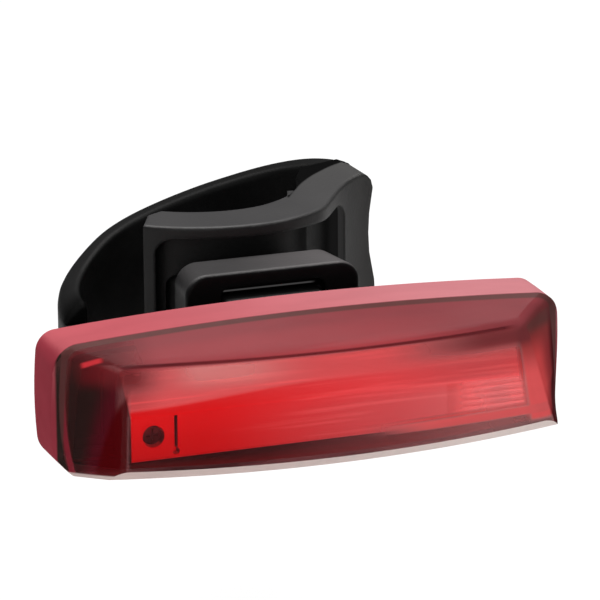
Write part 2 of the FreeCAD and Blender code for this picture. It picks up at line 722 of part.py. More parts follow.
def saddleLiner():
    inner = postDiameter / 2
    outer = inner + linerThickness
    edges = [
        circleArc(outer, linerFrom, linerTo, 0),
        lineEdge(flat(onCircle(outer, linerTo, 0)), flat(onCircle(inner, linerTo, 0))),
        circleArc(inner, linerTo, linerFrom, 0),
        lineEdge(flat(onCircle(inner, linerFrom, 0)), flat(onCircle(outer, linerFrom, 0))),
    ]
    pad = upright(edges, -linerHalfHeight, linerHalfHeight)
    for z in (-14.0, -10.0, -6.0, -2.0, 2.0, 6.0, 10.0, 14.0):
        ring = cylinderZ(0, 0, inner + 0.45, z - 0.5, z + 0.5)
        pad = pad.cut(ring)
    return pad


def strapProfile():
    """Plate in the XZ plane that gives the strap its rising rim."""
    left = -16.3
    top = strapTop
    rim = Part.BSplineCurve()
    points = [(30, top + 0.3), (25, top), (20.8, top - 0.9), (12.8, 14.7), (0.8, 10.55), (-8, 7.0)]
    points += [(left, strapEndTop), (-19.6, 1.9), (-25, -1.6)]
    rim.interpolate([Vector(x, -60, z) for x, z in points])
    corners = [points[-1], (-25, strapEndLow), (left, strapEndLow - 0.1), (20.0, 0.3 - top), (30, -top), points[0]]
    edges = [rim.toShape()]
    for a, b in zip(corners, corners[1:]):
        edges.append(lineEdge(Vector(a[0], -60, a[1]), Vector(b[0], -60, b[1])))
    return Part.Face(Part.Wire(edges)).extrude(Vector(0, 120, 0))


def flaredPoint(radius, degrees):
    """Point on the strap's plan curve, which opens out from the circle towards the ear."""
    share = max(0.0, (flareEnd - degrees) / (flareEnd - 12.0))
    return onCircle(radius + strapFlare * (0.5 - 0.5 * math.cos(math.pi * share)), degrees)


def strapRoot():
    y0 = earBack + strapGap
    last = math.radians(flareEnd)
    ends = (-math.sin(last), math.cos(last))
    angles = (25, 40, 55, 68, flareEnd)
    inset = cradleOuter - strapInner
    outer = curve([(earEnd, y0)] + [flaredPoint(cradleOuter, a) for a in angles], (0.0, 1.0), ends)
    inner = curve([(earEnd - inset, y0)] + [flaredPoint(strapInner, a) for a in angles], (0.0, 1.0), ends)
    edges = [
        outer,
        circleArc(cradleOuter, flareEnd, bendAngle),
        lineEdge(flat(onCircle(cradleOuter, bendAngle)), flat(onCircle(strapInner, bendAngle))),
        circleArc(strapInner, bendAngle, flareEnd),
        inner,
        lineEdge(flat((earEnd - inset, y0)), flat((earEnd, y0))),
    ]
    band = upright(edges, -22, 22).common(strapProfile())
    return softenRims(band)


def softenRims(band):
    return soften(band, 0.8, lambda e: e.BoundBox.XLength > 3 and e.BoundBox.YLength > 3 and isRim(e))


def isRim(edge):
    return not along(edge, axisZ, 0.98)


def strapEnd():
    gap = 0.25
    edges = [
        circleArc(cradleOuter, bendAngle + gap, 180),
        lineEdge(flat(onCircle(cradleOuter, 180)), flat(onCircle(strapInner, 180))),
        circleArc(strapInner, 180, bendAngle + gap),
        lineEdge(flat(onCircle(strapInner, bendAngle + gap)), flat(onCircle(cradleOuter, bendAngle + gap))),
    ]
    band = upright(edges, -22, 22).common(strapProfile())
    band = soften(band, 2.2, lambda e: along(e, axisX, 0.9) and e.BoundBox.YMax < cradleCentre + 0.1)
    x0 = -cradleOuter
    x1 = x0 + tongueThickness
    tongue = box(x0, x1, tongueEnd, cradleCentre + 0.5, tongueLow, tongueHigh)
    tongue = soften(tongue, 2.4, lambda e: along(e, axisX) and e.BoundBox.YMax < tongueEnd + 0.1)
    band = band.fuse(tongue)
    grip = cylinderZ(x0 + 0.2, tongueEnd + 1.3, 1.2, tongueLow + 1.0, tongueHigh - 1.0)
    band = band.fuse(grip)
    zMid = (tongueLow + tongueHigh) / 2
    slots = [(hookSlotFrom, hookSlotTo), (-7.4, -3.2)]
    for y0, y1 in slots:
        slot = box(x0 - 1, x1 + 1, y0, y1, zMid - 1.75, zMid + 1.75)
        slot = soften(slot, 1.2, lambda e: along(e, axisX))
        band = band.cut(slot)
    for z in (strapEndLow + 2.4, strapEndLow + 3.9, strapEndLow + 12.5):
        band = band.cut(Part.makeTorus(cradleOuter + 0.25, 0.45, Vector(0, cradleCentre, z)))
    return band.removeSplitter()


def strapHook():
    zMid = (tongueLow + tongueHigh) / 2
    face = -cradleOuter + tongueThickness
    x1 = face + hookFit
    arm = box(x1, -12.9, -14.2, -8.7, tongueLow, tongueHigh)
    arm = soften(arm, 1.2, lambda e: along(e, axisX) and e.BoundBox.YMin > -8.8)
    root = box(-12.95, -9.4, -17.4, -14.1, tongueLow - 0.3, tongueHigh + 0.3)
    bridge = box(-15.2, -12.2, -17.4, -13.6, tongueLow, tongueHigh)
    stem = box(-cradleOuter - hookFit - 1.2, x1 + 0.3, -11.4, -9.3, zMid - 1.2, zMid + 1.2)
    nose = box(-cradleOuter - hookFit - 1.2, -cradleOuter - hookFit, -13.6, -9.3, zMid - 1.2, zMid + 1.2)
    nose = soften(nose, 0.5, lambda e: along(e, axisZ) and e.BoundBox.YMax < -13.5)
    hook = arm.fuse(bridge).fuse(root).fuse(stem).fuse(nose)
    return hook.removeSplitter()


def save(name, shape):
    solids = shape if isinstance(shape, list) else [shape]
    bad = [s for s in solids if not s.isValid() or s.Volume <= 0]
    if bad:
        print("check", name, "has a faulty solid")
    whole = solids[0] if len(solids) == 1 else Part.makeCompound(solids)
    if len(whole.Solids) == 1:
        whole = whole.Solids[0]
    whole.exportStep("parts/" + name + ".step")
    b = whole.BoundBox
    print(name, len(whole.Solids), "solids", round(whole.Volume, 1),
          [round(v, 2) for v in (b.XMin, b.XMax, b.YMin, b.YMax, b.ZMin, b.ZMax)])


os.makedirs("parts", exist_ok=True)
save("lens_cover", lensCover())
save("rear_housing", rearHousing())
save("housing_seal", housingSeal())
save("cleat", cleat())
save("cleat_screws", cleatScrews())
save("reflector", reflector())
save("reflector_screws", reflectorScrews())
save("fluted_optic", flutedOptic())
save("circuit_board", circuitBoard())
save("led_board", ledBoard())
save("led_chips", ledChips())
save("battery", battery())
save("charging_socket", chargingSocket())
save("push_switch", pushSwitch())
save("power_button", powerButton())
save("port_cover", portCover())
save("bracket", bracket())
save("bracket_screws", bracketScrews())
save("cradle", cradle())
save("saddle_liner", saddleLiner())
save("strap_root", strapRoot())
save("strap_end", strapEnd())
save("strap_hook", strapHook())
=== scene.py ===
import bpy
import bmesh
import math
from mathutils import Matrix, Vector


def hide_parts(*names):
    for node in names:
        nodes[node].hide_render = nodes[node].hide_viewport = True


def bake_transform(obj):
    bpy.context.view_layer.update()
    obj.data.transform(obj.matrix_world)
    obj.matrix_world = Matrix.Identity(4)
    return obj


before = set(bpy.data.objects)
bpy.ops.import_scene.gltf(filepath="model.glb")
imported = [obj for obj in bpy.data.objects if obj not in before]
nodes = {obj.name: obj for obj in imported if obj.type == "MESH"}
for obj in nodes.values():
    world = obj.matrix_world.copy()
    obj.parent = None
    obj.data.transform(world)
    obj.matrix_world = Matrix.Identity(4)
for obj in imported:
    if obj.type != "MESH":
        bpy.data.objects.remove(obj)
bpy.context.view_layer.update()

scene = bpy.context.scene
print("frame loaded with", len(nodes), "nodes")


class Shader:
    # small helper around one material's node tree
    def __init__(self, name):
        self.material = bpy.data.materials.new(name)
        self.material.use_nodes = True
        self.tree = self.material.node_tree
        self.tree.nodes.clear()
        self.out = self.add("OutputMaterial")
        self.coords = self.add("TexCoord")

    def add(self, kind, **inputs):
        node = self.tree.nodes.new("ShaderNode" + kind)
        for key, value in inputs.items():
            self.put(node.inputs[key.replace("_", " ")], value)
        return node

    def put(self, socket, value):
        # the value is a socket, a node with its first output, a colour or a plain value
        if isinstance(value, bpy.types.NodeSocket):
            self.tree.links.new(value, socket)
        elif hasattr(value, "outputs"):
            self.tree.links.new(value.outputs[0], socket)
        elif socket.type == "RGBA":
            socket.default_value = (*value, 1.0)
        else:
            socket.default_value = value

    def math(self, operation, a, b=0.0, clamp=False):
        node = self.tree.nodes.new("ShaderNodeMath")
        node.operation = operation
        node.use_clamp = clamp
        self.put(node.inputs[0], a)
        self.put(node.inputs[1], b)
        return node.outputs[0]

    def times(self, *items):
        product = items[0]
        for item in items[1:]:
            product = self.math("MULTIPLY", product, item)
        return product

    def plus(self, *items):
        total = items[0]
        for item in items[1:]:
            total = self.math("ADD", total, item)
        return total

    def minus(self, first, second):
        return self.math("SUBTRACT", first, second)

    def rise(self, value, span, low=0.0, high=1.0):
        # smooth step from low to high over the span
        node = self.tree.nodes.new("ShaderNodeMapRange")
        node.interpolation_type = "SMOOTHSTEP"
        for socket, item in zip(node.inputs, (value, *span, low, high)):
            self.put(socket, item)
        return node.outputs[0]

    def fall(self, value, span):
        return self.rise(value, span, 1.0, 0.0)

    def window(self, value, spans):
        # rises over the first two values and falls over the last two
        return self.times(self.rise(value, spans[:2]), self.fall(value, spans[2:]))

    def mixColour(self, share, first, second):
        node = self.tree.nodes.new("ShaderNodeMix")
        node.data_type = "RGBA"
        for index, value in ((0, share), (6, first), (7, second)):
            self.put(node.inputs[index], value)
        return node.outputs[2]

    def mixValue(self, share, first, second):
        node = self.tree.nodes.new("ShaderNodeMix")
        for index, value in ((0, share), (2, first), (3, second)):
            self.put(node.inputs[index], value)
        return node.outputs[0]

    def mixShader(self, share, first, second):
        node = self.tree.nodes.new("ShaderNodeMixShader")
        for index, value in ((0, share), (1, first), (2, second)):
            self.put(node.inputs[index], value)
        return node.outputs[0]

    def turnTo(self, base, place, step):
        # the colour turns into the step's own where the place crosses the step's span
        span, tone = step
        return self.mixColour(self.rise(place, span), base, tone)

    def millimetres(self):
        # the place on the object along x, y and z
        metres = self.add("SeparateXYZ", Vector=self.coords.outputs["Object"])
        return [self.times(part, 1000.0) for part in metres.outputs]

    def normals(self):
        return list(self.add("SeparateXYZ", Vector=self.coords.outputs["Normal"]).outputs)

    def noise(self, scale, detail=2.0, stretch=(1, 1, 1)):
        place = self.add("Mapping", Vector=self.coords.outputs["Object"], Scale=stretch)
        return self.add("TexNoise", Vector=place, Scale=scale, Detail=detail).outputs[0]

    def bump(self, height, distance, radius):
        # grain on edges that are softened by the radius
        edge = self.add("Bevel", Radius=radius)
        edge.samples = 4
        node = self.add("Bump", Height=height, Distance=distance, Strength=1.0, Normal=edge)
        return node.outputs[0]

    def finish(self, surface):
        self.put(self.out.inputs["Surface"], surface)
        return self.material


def paint(node, material):
    nodes[node].data.materials.clear()
    nodes[node].data.materials.append(material)


# red lens cover: clear in front, frosted where it wraps the tray, with a painted reflection of the white
# floor on the lip below the face.
# A zone holds the share of milky veil over the clear red and the veil's colour. Places are in
# millimetres, turns are parts of the surface normal; four values rise over two and fall over two.
lensLook = {
    "tint": (0.965, 0.50, 0.52), "rearPlane": -40.0,
    "face": (0.04, (0.62, 0.24, 0.25)), "faceEast": (0.88, 0.43, 0.43), "eastAcross": (5, 25),
    "faceRight": 0.25, "rightAcross": (-18, 24), "faceUpper": 0.10, "upperHeight": (1.0, 6.0),
    "veilFade": (0.0, 3.0), "veilLeft": 0.25,
    "cloudScale": 160.0, "cloudStretch": (0.4, 1, 1), "cloudSpan": (0.3, 0.7), "cloud": (0.94, 1.04),
    "underHeight": (-4.2, -3.2), "levelTurn": (0.72, 0.85), "lipTurn": (-0.4, -0.25),
    "halfWidth": 37.1, "bulge": 0.6, "bulgeMiddle": 0.9, "bulgeReach": 9.0,
    "rightTurn": (0.5, 0.7), "lowerKnee": 1.0,
    "leftTurn": (-0.7, -0.5), "flushHeight": (4.0, 6.5), "flushDepth": (9.5, 11.5),
    "seamAcross": (0.95, 1.15, 1.5, 1.7), "rimAcross": (0.85, 1.05),
    "bottomFrom": 8.1, "bottomRise": 0.178, "bottomHeight": -8.1, "sideLipHeight": (0.4, 0.65),
    "beyondAcross": (27.9, 28.7), "beyondUp": (-5.0, -4.4, 5.6, 7.4),
    "facingTurn": (-0.75, -0.6), "shadedAcross": (-29.0, -22.0), "shadedHeight": (3.4, 6.2),
    "corneredTurn": (-0.32, -0.2), "corneredDepth": (15.0, 16.0), "sidelongTurn": (0.5, 0.85),
    "skirtEnd": (7.95, 8.3), "bandEnd": (9.05, 9.45), "frontTurn": (-0.6, -0.45),
    "lineStart": 7.64, "lineRise": -0.0061, "lineBow": 0.00007,
    "crestGap": (-0.3, -0.1, 0.05, 0.4), "crestAcross": (-31.0, -28.5, 26.0, 29.0),
    "bevelGap": (-0.2, 0.0), "bevelAcross": (27.0, 29.0), "bevelTurn": (0.5, 0.75),
    # span and gap of the painted shade on the right, below the dark top line
    "shadedRightAcross": (6.0, 24.0), "shadedRightGap": (1.7, 3.3),
    "hazeAcross": (-25.0, -19.0, -14.0, -2.0), "hazeGap": (0.1, 0.6, 1.6, 4.2),
    "filledAcross": (2.0, 14.0), "filledUp": (-4.03, -3.73, -2.97, -2.57),
    "beyond": (0.95, (1.0, 0.135, 0.14)), "beyondHigh": ((1.0, 4.8), (0.50, 0.07, 0.07)),
    "shaded": (0.70, (0.20, 0.03, 0.034)), "shadedRight": (0.80, (0.24, 0.050, 0.055)),
    "haze": (0.26, (0.95, 0.66, 0.62)), "filled": (0.9, (0.95, 0.15, 0.155)),
    # painted reflection on the up-facing bevel, darker at its left end as painted shade
    "bevelReflection": (0.6, (0.15, 0.030, 0.034)), "bevelReflectionEast": ((-31.0, -23.0), (0.37, 0.075, 0.088)),
    "crest": (0.85, (0.09, 0.016, 0.020)),
    "left": (0.45, (0.062, 0.030, 0.028)), "leftNear": ((12.0, 15.0), (0.20, 0.016, 0.030)),
    "leftHigh": (0.30, 0.022, 0.030), "seam": (0.75, (0.33, 0.032, 0.050)),
    # painted shade at the rounded left corner of the face
    "cornered": (0.75, (0.11, 0.003, 0.005)),
    "right": (1.0, (0.73, 0.078, 0.080)), "rightMid": ((31.2, 34.8), (0.34, 0.035, 0.040)),
    "rightHigh": ((2.5, 6.0), (0.30, 0.045, 0.045)), "rightTop": ((5.4, 7.0), (0.13, 0.05, 0.045)),
    "rightDark": ((34.4, 36.0), (0.07, 0.004, 0.007)),
    "band": (0.8, (0.13, 0.05, 0.048)), "rim": (0.95, (0.028, 0.020, 0.017)),
    "under": (0.94, (0.05, 0.002, 0.003)),
    "skirt": (0.95, (0.53, 0.110, 0.132)), "skirtEast": ((-30, 32), (0.60, 0.225, 0.25)),
    "skirtSide": (0.36, 0.048, 0.068),
    # painted reflection of the white floor on the lip below the face, paler to the right
    "lip": (0.97, (0.74, 0.59, 0.56)), "lipEast": ((-32, 32), (0.94, 0.81, 0.77)),
    "glintAt": (-32.8, -51.05, 8.1), "glintLong": (0.841, -0.45, 0.3), "glintEnds": (0.955, 1.91),
    "glintSides": (0.2, 0.5), "glintShare": 0.9, "glint": (1.0, 0.06, 0.075), "glow": 0.6,
    "softScale": 90.0, "soft": 0.00001, "softEdge": 0.0002,
    "shineTone": (1, 0.9, 0.9), "shine": 0.12, "sideLoss": 0.85, "gloss": 0.1, "index": 1.45}


def lensZones(s, look, x, z, depth, normal):
    # masks over the whole cover, in the order in which they are laid over each other
    normalX, normalY, normalZ = normal
    skirt = s.fall(depth, look["skirtEnd"])
    ahead = s.minus(1.0, skirt)
    low = s.fall(z, look["underHeight"])
    level = s.rise(s.math("ABSOLUTE", normalZ), look["levelTurn"])
    sidelong = s.rise(s.math("ABSOLUTE", normalX), look["sidelongTurn"])
    lip = s.times(s.fall(normalZ, look["lipTurn"]), s.minus(1.0, level))

    # distance of a point inwards from the bowed side edge of the skirt
    lean = s.times(s.minus(z, look["bulgeMiddle"]), 1 / look["bulgeReach"])
    bulge = s.times(s.minus(1.0, s.times(lean, lean)), look["bulge"])
    inward = s.minus(s.plus(bulge, look["halfWidth"]), s.math("ABSOLUTE", x))

    # the right wall darkens outwards, and sooner below its knee
    right = s.rise(normalX, look["rightTurn"])
    outward = s.minus(x, s.math("MINIMUM", s.plus(z, look["lowerKnee"]), 0.0))
    rightColour = look["right"][1]
    for place, key in ((outward, "rightMid"), (z, "rightHigh"), (z, "rightTop"), (outward, "rightDark")):
        rightColour = s.turnTo(rightColour, place, look[key])

    # the left wall has a seam, a rim, a reddish upper part and a painted pale reflection of the white
    # floor along its bottom edge
    left = s.fall(normalX, look["leftTurn"])
    flush = s.times(s.rise(z, look["flushHeight"]), s.rise(depth, look["flushDepth"]))
    leftColour = s.turnTo(look["left"][1], depth, look["leftNear"])
    leftColour = s.mixColour(flush, leftColour, look["leftHigh"])
    seam = s.times(left, s.window(inward, look["seamAcross"]))
    rim = s.times(left, s.fall(inward, look["rimAcross"]))
    bottom = s.times(s.minus(depth, look["bottomFrom"]), look["bottomRise"])
    bottom = s.plus(bottom, look["bottomHeight"])
    sideLipReflection = s.times(left, s.fall(s.minus(z, bottom), look["sideLipHeight"]))
    # painted shade: the rounded left corner of the face is painted dark red, where the box's left side
    # lies in shade behind it
    cornered = s.times(s.fall(normalX, look["corneredTurn"]), s.rise(depth, look["corneredDepth"]))

    # beyond the box's right end the face looks filled with red; its upper left corner darkens
    beyond = s.times(s.rise(x, look["beyondAcross"]), s.window(z, look["beyondUp"]))
    beyondColour = s.turnTo(look["beyond"][1], z, look["beyondHigh"])
    facing = s.fall(normalY, look["facingTurn"])
    shaded = s.times(s.fall(x, look["shadedAcross"]), s.rise(z, look["shadedHeight"]), facing)

    # a dark line along the top of the face; above it the face is painted like the bevel, with the bevel's
    # painted reflection
    line = s.plus(s.times(x, look["lineRise"]), look["lineStart"], s.times(x, x, look["lineBow"]))
    gap = s.minus(line, z)
    front = s.fall(normalY, look["frontTurn"])
    crest = s.times(s.window(gap, look["crestGap"]), s.window(x, look["crestAcross"]), front)
    above = s.times(s.fall(gap, look["bevelGap"]), front, s.fall(x, look["bevelAcross"]))
    # painted reflection: up-facing bevel faces, and the face above the dark line, are painted pinkish as
    # the pale surroundings reflect there, with painted shade towards the left end
    bevelReflection = s.math("MAXIMUM", above, s.rise(normalZ, look["bevelTurn"]))
    bevelReflectionColour = s.turnTo(look["bevelReflection"][1], x, look["bevelReflectionEast"])
    # painted shade on the right, in a band below the dark top line
    shadedRight = s.times(s.rise(x, look["shadedRightAcross"]), s.fall(gap, look["shadedRightGap"]))
    haze = s.times(s.window(x, look["hazeAcross"]), s.window(gap, look["hazeGap"]))
    filled = s.times(s.rise(x, look["filledAcross"]), s.window(z, look["filledUp"]))

    skirtColour = s.turnTo(look["skirt"][1], x, look["skirtEast"])
    skirtColour = s.mixColour(sidelong, skirtColour, look["skirtSide"])
    # painted reflection: the lip below the face and the bottom edge of the left wall are painted pale, as
    # the white floor reflects there
    lipColour = s.turnTo(look["lip"][1], x, look["lipEast"])
    zones = [
        (beyond, "beyond", beyondColour),
        (shaded, "shaded", None),
        (shadedRight, "shadedRight", None),
        (haze, "haze", None),
        (filled, "filled", None),
        (bevelReflection, "bevelReflection", bevelReflectionColour),
        (crest, "crest", None),
        (left, "left", leftColour),
        (seam, "seam", None),
        (cornered, "cornered", None),
        (right, "right", rightColour),
        (s.times(ahead, s.fall(depth, look["bandEnd"])), "band", None),
        (rim, "rim", None),
        (s.times(low, level), "under", None),
        (skirt, "skirt", skirtColour),
        (s.times(ahead, low, lip), "lip", lipColour),
        (s.times(ahead, sideLipReflection), "lip", None),
    ]
    return zones, sidelong


def lensGlint(s, look, place):
    # a small red glint beside the upper left corner: a short line with soft ends and sides
    offset = [s.minus(value, at) for value, at in zip(place, look["glintAt"])]
    length = s.plus(*[s.times(value, share) for value, share in zip(offset, look["glintLong"])])
    squares = s.plus(*[s.times(value, value) for value in offset])
    across = s.math("SQRT", s.math("MAXIMUM", s.minus(squares, s.times(length, length)), 0.0))
    along = s.fall(s.math("ABSOLUTE", length), look["glintEnds"])
    return s.times(along, s.fall(across, look["glintSides"]), look["glintShare"])


def lensMaterial(look):
    s = Shader("red lens")
    x, y, z = s.millimetres()
    depth = s.minus(look["rearPlane"], y)
    zones, sidelong = lensZones(s, look, x, z, depth, s.normals())
    lower = s.rise(z, look["veilFade"], 1.0, look["veilLeft"])
    veil = s.times(look["faceRight"], s.rise(x, look["rightAcross"]), lower)
    veil = s.plus(veil, look["face"][0], s.times(look["faceUpper"], s.rise(z, look["upperHeight"])))
    east = s.times(s.rise(x, look["eastAcross"]), lower)
    milk = s.mixColour(east, look["face"][1], look["faceEast"])
    for zone, key, tone in zones:
        share, flatTone = look[key]
        veil = s.mixValue(zone, veil, share)
        milk = s.mixColour(zone, milk, tone or flatTone)
    cloud = s.noise(look["cloudScale"], 3.0, look["cloudStretch"])
    veil = s.math("MULTIPLY", veil, s.rise(cloud, look["cloudSpan"], *look["cloud"]), True)
    clear = s.add("BsdfTransparent", Color=look["tint"])
    inner = s.mixShader(veil, clear, s.add("BsdfDiffuse", Color=milk))
    spark = s.add("Emission", Color=look["glint"], Strength=look["glow"])
    inner = s.mixShader(lensGlint(s, look, (x, y, z)), inner, spark)

    soft = s.bump(s.noise(look["softScale"], 1.0), look["soft"], look["softEdge"])
    fresnel = s.add("Fresnel", IOR=look["index"], Normal=soft)
    outside = s.minus(1.0, s.add("NewGeometry").outputs["Backfacing"])
    shine = s.add("BsdfGlossy", Color=look["shineTone"], Roughness=look["gloss"], Normal=soft)
    share = s.times(fresnel, outside, look["shine"])
    share = s.times(share, s.minus(1.0, s.times(sidelong, look["sideLoss"])))
    return s.finish(s.mixShader(share, inner, shine))


paint("lens_cover", lensMaterial(lensLook))

# red reflector box: saturated on the left, paler to the right, with dark ends painted as shade, a sloping
# top painted pale as if lit from above, and a painted glow
reflectorLook = {
    "left": (0.66, 0.004, 0.010), "right": (0.84, 0.33, 0.34), "along": (-20.0, 20.0),
    "streak": (1.0, 0.60, 0.57), "streakStretch": (40, 40, 1500), "streakSpan": (0.5, 0.68),
    "streakShare": 0.7, "slopeStreak": 0.5,
    # painted light on the sloping top, dimmer at its upper left end
    "slopeLow": (0.62, 0.40, 0.38), "slopeHigh": ((1.5, 5.2), (0.54, 0.40, 0.38)),
    "slopeRight": (0.74, 0.26, 0.26), "slopeRightShare": 0.7,
    "slopeLeft": (0.26, 0.10, 0.10), "leftAcross": (-28.5, -22.5), "leftUp": (1.2, 4.8), "leftLow": 0.35,
    # the end tone is painted shade on the box's ends
    "crest": ((6.0, 6.4), (0.10, 0.015, 0.016)), "end": ((0.6, 0.8), (0.05, 0.003, 0.004)),
    "edgeAcross": (-28.0, 0.0), "edgeHeight": (1.5, 2.6), "edgeSoft": (-0.2, 0.3),
    "reachHeight": (0.7, 1.1), "reachDim": 0.3,
    "frontTurn": (-0.7, -0.4), "sideGlow": 0.12, "glow": 0.6,
    "grainScale": 500.0, "grain": 0.00002, "softEdge": 0.0002, "rough": 0.28}


def reflectorMaterial(look):
    s = Shader("red reflector")
    x, y, z = s.millimetres()
    normalX, normalY, normalZ = s.normals()
    along = s.rise(x, look["along"])
    streaks = s.noise(1.0, 2.0, look["streakStretch"])
    streaks = s.rise(streaks, look["streakSpan"], 0.0, look["streakShare"])
    base = s.mixColour(along, look["left"], look["right"])
    base = s.mixColour(s.times(streaks, along), base, look["streak"])
    # painted light: the sloping top is painted pale as lit from above, dimmer at its upper left
    slope = s.turnTo(look["slopeLow"], z, look["slopeHigh"])
    slope = s.mixColour(s.times(along, look["slopeRightShare"]), slope, look["slopeRight"])
    fade = s.times(s.fall(x, look["leftAcross"]), s.rise(z, look["leftUp"], look["leftLow"], 1.0))
    slope = s.mixColour(fade, slope, look["slopeLeft"])
    slope = s.turnTo(slope, z, look["crest"])
    slope = s.mixColour(s.times(streaks, look["slopeStreak"]), slope, look["streak"])
    # the saturated face reaches a little up the slope, more so towards the middle
    edge = s.rise(x, look["edgeAcross"], *look["edgeHeight"])
    onSlope = s.rise(s.minus(z, edge), look["edgeSoft"])
    reaching = s.times(s.rise(z, look["reachHeight"]), s.minus(1.0, onSlope))
    base = s.mixColour(onSlope, base, slope)
    # painted shade on the ends of the box
    base = s.turnTo(base, s.math("ABSOLUTE", normalX), look["end"])
    grain = s.bump(s.noise(look["grainScale"], 2.0), look["grain"], look["softEdge"])
    body = s.add("BsdfPrincipled", Base_Color=base, Roughness=look["rough"], Normal=grain,
                 Emission_Color=base)
    # painted glow: the box gives off light of its own, weaker on its sides and where the face reaches up
    # the slope
    glow = s.times(look["glow"], s.minus(1.0, s.times(reaching, look["reachDim"])))
    front = s.rise(normalY, look["frontTurn"], 1.0, look["sideGlow"])
    s.put(body.inputs["Emission Strength"], s.times(front, glow))
    return s.finish(body)


paint("reflector", reflectorMaterial(reflectorLook))

# fluted optic in front of the box, clearer towards its right end
opticLook = {"pale": (1.0, 0.95, 0.92), "deep": (0.80, 0.36, 0.36), "flutes": 7.0, "rough": 0.2,
             "glow": 0.42, "tint": (0.97, 0.75, 0.75), "clearAcross": (17.5, 22.5), "clear": 0.3}


def opticMaterial(look):
    s = Shader("fluted optic")
    x, y, z = s.millimetres()
    wave = s.math("SINE", s.times(z, look["flutes"]))
    base = s.mixColour(s.rise(wave, (-1.0, 1.0)), look["deep"], look["pale"])
    body = s.add("BsdfPrincipled", Base_Color=base, Roughness=look["rough"], Emission_Color=base,
                 Emission_Strength=look["glow"])
    clear = s.add("BsdfTransparent", Color=look["tint"])
    share = s.rise(x, look["clearAcross"], 1.0, look["clear"])
    return s.finish(s.mixShader(share, body, clear))


paint("fluted_optic", opticMaterial(opticLook))

# values that hold for every solid surface which does not name its own
commonLook = {
    "mottleScale": 180.0, "stretch": (1, 1, 1), "mottleSpan": (0.3, 0.7), "glossSpan": (0.25, 0.75),
    "roughSpread": 0.06, "grainScale": 2600.0, "grain": 0.00002, "edge": 0.00025, "metal": 0.0,
    "specular": 0.5, "topTurn": (0.25, 0.9), "eastAcross": (-12.0, -1.0), "hollowSpan": (0.35, 0.95),
    "glowTone": (1, 0.98, 0.98)}

# solid surfaces, one set of values per slot; the top tone is painted on faces that look up as light from
# above, and the deep tone is painted in hollows as shade
looks = {
    "tray plastic": {"dark": (0.010, 0.007, 0.008), "light": (0.020, 0.014, 0.015), "rough": 0.42},
    "cleat plastic": {
        "dark": (0.012, 0.012, 0.013), "light": (0.022, 0.022, 0.024), "rough": 0.45,
        "top": (0.09, 0.087, 0.088), "sideSheen": 0.3, "reach": 0.003, "deep": (0.008, 0.008, 0.008)},
    "bracket plastic": {
        "dark": (0.007, 0.0065, 0.007), "light": (0.011, 0.0105, 0.0115), "rough": 0.42,
        "grain": 0.00003, "edge": 0.0007, "top": (0.050, 0.048, 0.049), "sideSheen": 0.12,
        "specular": 0.35, "reach": 0.012, "deep": (0.002, 0.002, 0.002)},
    "cradle rubber": {
        "dark": (0.020, 0.0195, 0.0196), "light": (0.031, 0.030, 0.030), "rough": 0.5,
        "mottleScale": 120.0, "grain": 0.00003, "edge": 0.0006, "top": (0.034, 0.033, 0.034),
        "sideSheen": 0.3, "reach": 0.022, "deep": (0.0015, 0.0015, 0.0015)},
    "strap rubber": {
        "dark": (0.005, 0.005, 0.005), "light": (0.009, 0.009, 0.009), "rough": 0.5,
        "mottleScale": 120.0, "grain": 0.00003, "edge": 0.0006, "top": (0.0085, 0.0084, 0.0085),
        "topEast": 0.12, "specular": 0.12, "sideSheen": 0.08, "reach": 0.025,
        "deep": (0.0012, 0.0012, 0.0012)},
    "liner rubber": {"dark": (0.012, 0.0117, 0.0122), "light": (0.021, 0.020, 0.021), "rough": 0.6},
    "seal rubber": {"dark": (0.008, 0.008, 0.008), "light": (0.016, 0.016, 0.016), "rough": 0.5},
    "button rubber": {"dark": (0.045, 0.045, 0.047), "light": (0.065, 0.065, 0.068), "rough": 0.55},
    "cover rubber": {"dark": (0.020, 0.020, 0.021), "light": (0.034, 0.034, 0.036), "rough": 0.58},
    "screw steel": {
        "dark": (0.10, 0.10, 0.11), "light": (0.22, 0.22, 0.23), "rough": 0.35, "metal": 1.0,
        "edge": 0.00008},
    "socket metal": {
        "dark": (0.52, 0.52, 0.54), "light": (0.68, 0.68, 0.70), "rough": 0.28, "metal": 1.0,
        "edge": 0.0001},
    "board": {
        "dark": (0.008, 0.07, 0.026), "light": (0.014, 0.12, 0.045), "rough": 0.35,
        "mottleScale": 500.0, "stretch": (1, 1, 4)},
    "led board": {"dark": (0.70, 0.69, 0.66), "light": (0.82, 0.81, 0.78), "rough": 0.4},
    "led chip": {"dark": (0.75, 0.52, 0.22), "light": (0.88, 0.66, 0.34), "rough": 0.25, "edge": 0.0001},
    "battery foil": {
        "dark": (0.42, 0.43, 0.46), "light": (0.58, 0.59, 0.62), "rough": 0.38, "metal": 0.8},
    "switch plastic": {"dark": (0.02, 0.02, 0.022), "light": (0.04, 0.04, 0.043), "rough": 0.4},
}
pieces = {
    "tray plastic": ["rear_housing"],
    "cleat plastic": ["cleat"],
    "bracket plastic": ["bracket", "strap_hook"],
    "cradle rubber": ["cradle"],
    "strap rubber": ["strap_root", "strap_end"],
    "liner rubber": ["saddle_liner"],
    "seal rubber": ["housing_seal"],
    "button rubber": ["power_button"],
    "cover rubber": ["port_cover"],
    "screw steel": ["cleat_screws", "reflector_screws", "bracket_screws"],
    "socket metal": ["charging_socket"],
    "board": ["circuit_board"],
    "led board": ["led_board"],
    "led chip": ["led_chips"],
    "battery foil": ["battery"],
    "switch plastic": ["push_switch"],
}

